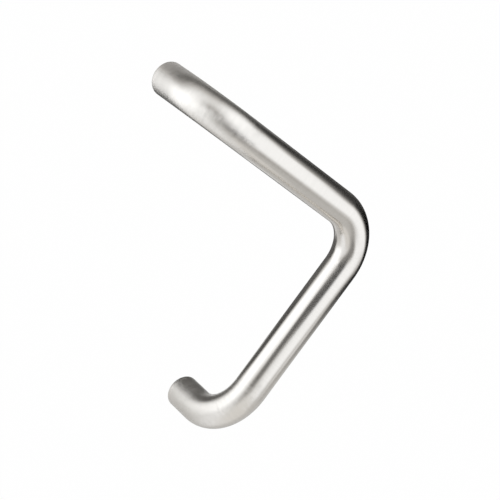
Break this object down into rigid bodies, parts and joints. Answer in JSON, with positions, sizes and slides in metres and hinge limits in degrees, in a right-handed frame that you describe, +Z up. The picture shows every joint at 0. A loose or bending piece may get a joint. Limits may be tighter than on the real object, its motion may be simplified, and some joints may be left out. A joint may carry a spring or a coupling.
{
  "type": "v-shaped pull handle",
  "caption": "V-shaped door pull bent from one round satin stainless tube, with a tapped insert flush in the end of each foot.",
  "frame": {"origin": "on the door's surface, midway between the two fixing holes", "axes": "+Y into the door, along the fixing bolts, so the grip stands off towards -Y; +Z up along the line of the two fixing holes; +X towards the elbow of the V"},
  "size_m": [0.1625, 0.083, 0.33],
  "materials": {
    "satin_stainless": "satin, ground round the tube with a fine belt",
    "turned_stainless": "fine turned, with faint concentric tool marks"
  },
  "bodies": {
    "root": {"handle_tube": "satin_stainless", "upper_insert": "turned_stainless", "lower_insert": "turned_stainless"}
  },
  "joints": []
}
